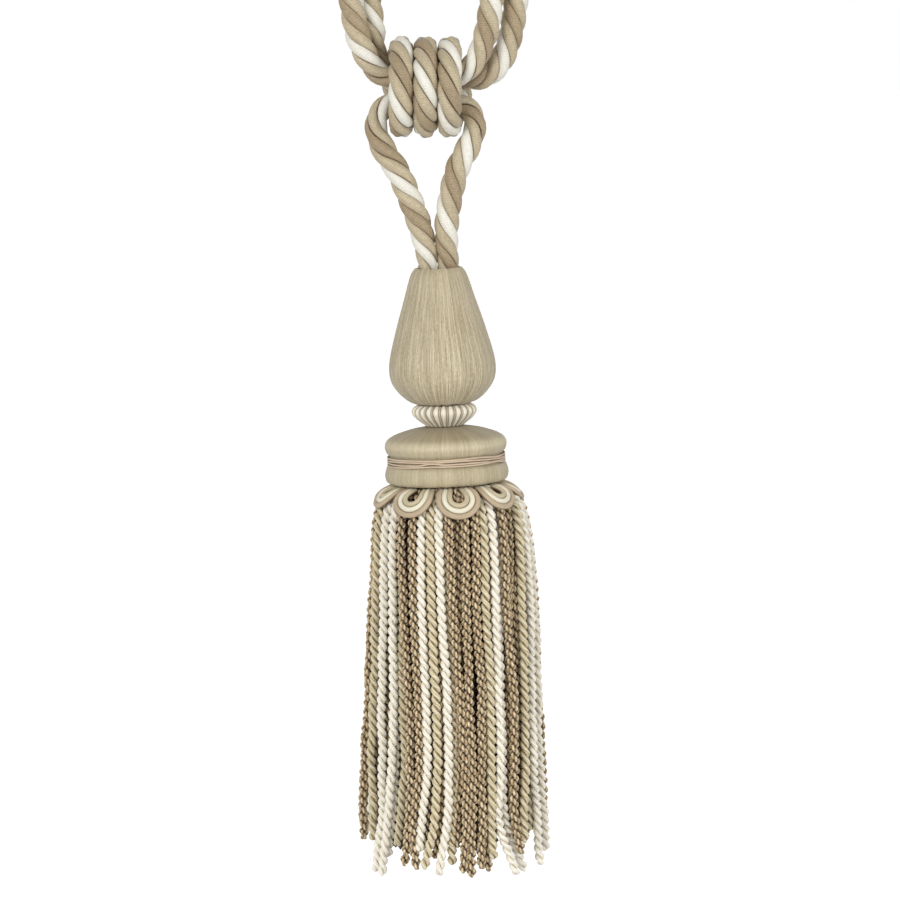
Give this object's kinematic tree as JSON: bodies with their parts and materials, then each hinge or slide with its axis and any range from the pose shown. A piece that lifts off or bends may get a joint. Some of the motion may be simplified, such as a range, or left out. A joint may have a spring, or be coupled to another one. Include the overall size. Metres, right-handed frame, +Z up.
{
  "type": "curtain tieback tassel",
  "caption": "Curtain tieback: a doubled twisted rope embrace with a wound knot, carrying a tassel with a satin head, striped bead, domed cap, looped gimp edge and bullion fringe.",
  "frame": {"origin": "the point on which the two end loops of the embrace hang, on the underside of the rope", "axes": "+Z up, along the hanging tieback; +X to the viewer's right; the front faces -Y"},
  "size_m": [0.1066, 0.0934, 0.7224],
  "materials": {
    "rope_satin": "twisted satin rope, cream, sand and rose-taupe strands",
    "floss_satin": "sand satin floss laid from top to bottom",
    "striped_floss": "cream cord ribs with narrow taupe ribs between",
    "binding_cord": "thin rose-taupe satin cord",
    "gimp_cord": "three gimp cords side by side, taupe, cream and sand",
    "bullion_yarn": "twisted yarn strands in cream, sand and taupe"
  },
  "bodies": {
    "root": {"embrace_rope": "rope_satin", "rope_wrap": "rope_satin", "head_bulb": "floss_satin", "striped_bead": "striped_floss", "skirt_cap": "floss_satin", "waist_binding": "binding_cord", "gimp_loop_1": "gimp_cord", "gimp_loop_2": "gimp_cord", "gimp_loop_3": "gimp_cord", "gimp_loop_4": "gimp_cord", "gimp_loop_5": "gimp_cord", "gimp_loop_6": "gimp_cord", "gimp_loop_7": "gimp_cord", "gimp_loop_8": "gimp_cord", "gimp_loop_9": "gimp_cord", "bullion_fringe": "bullion_yarn"}
  },
  "joints": []
}
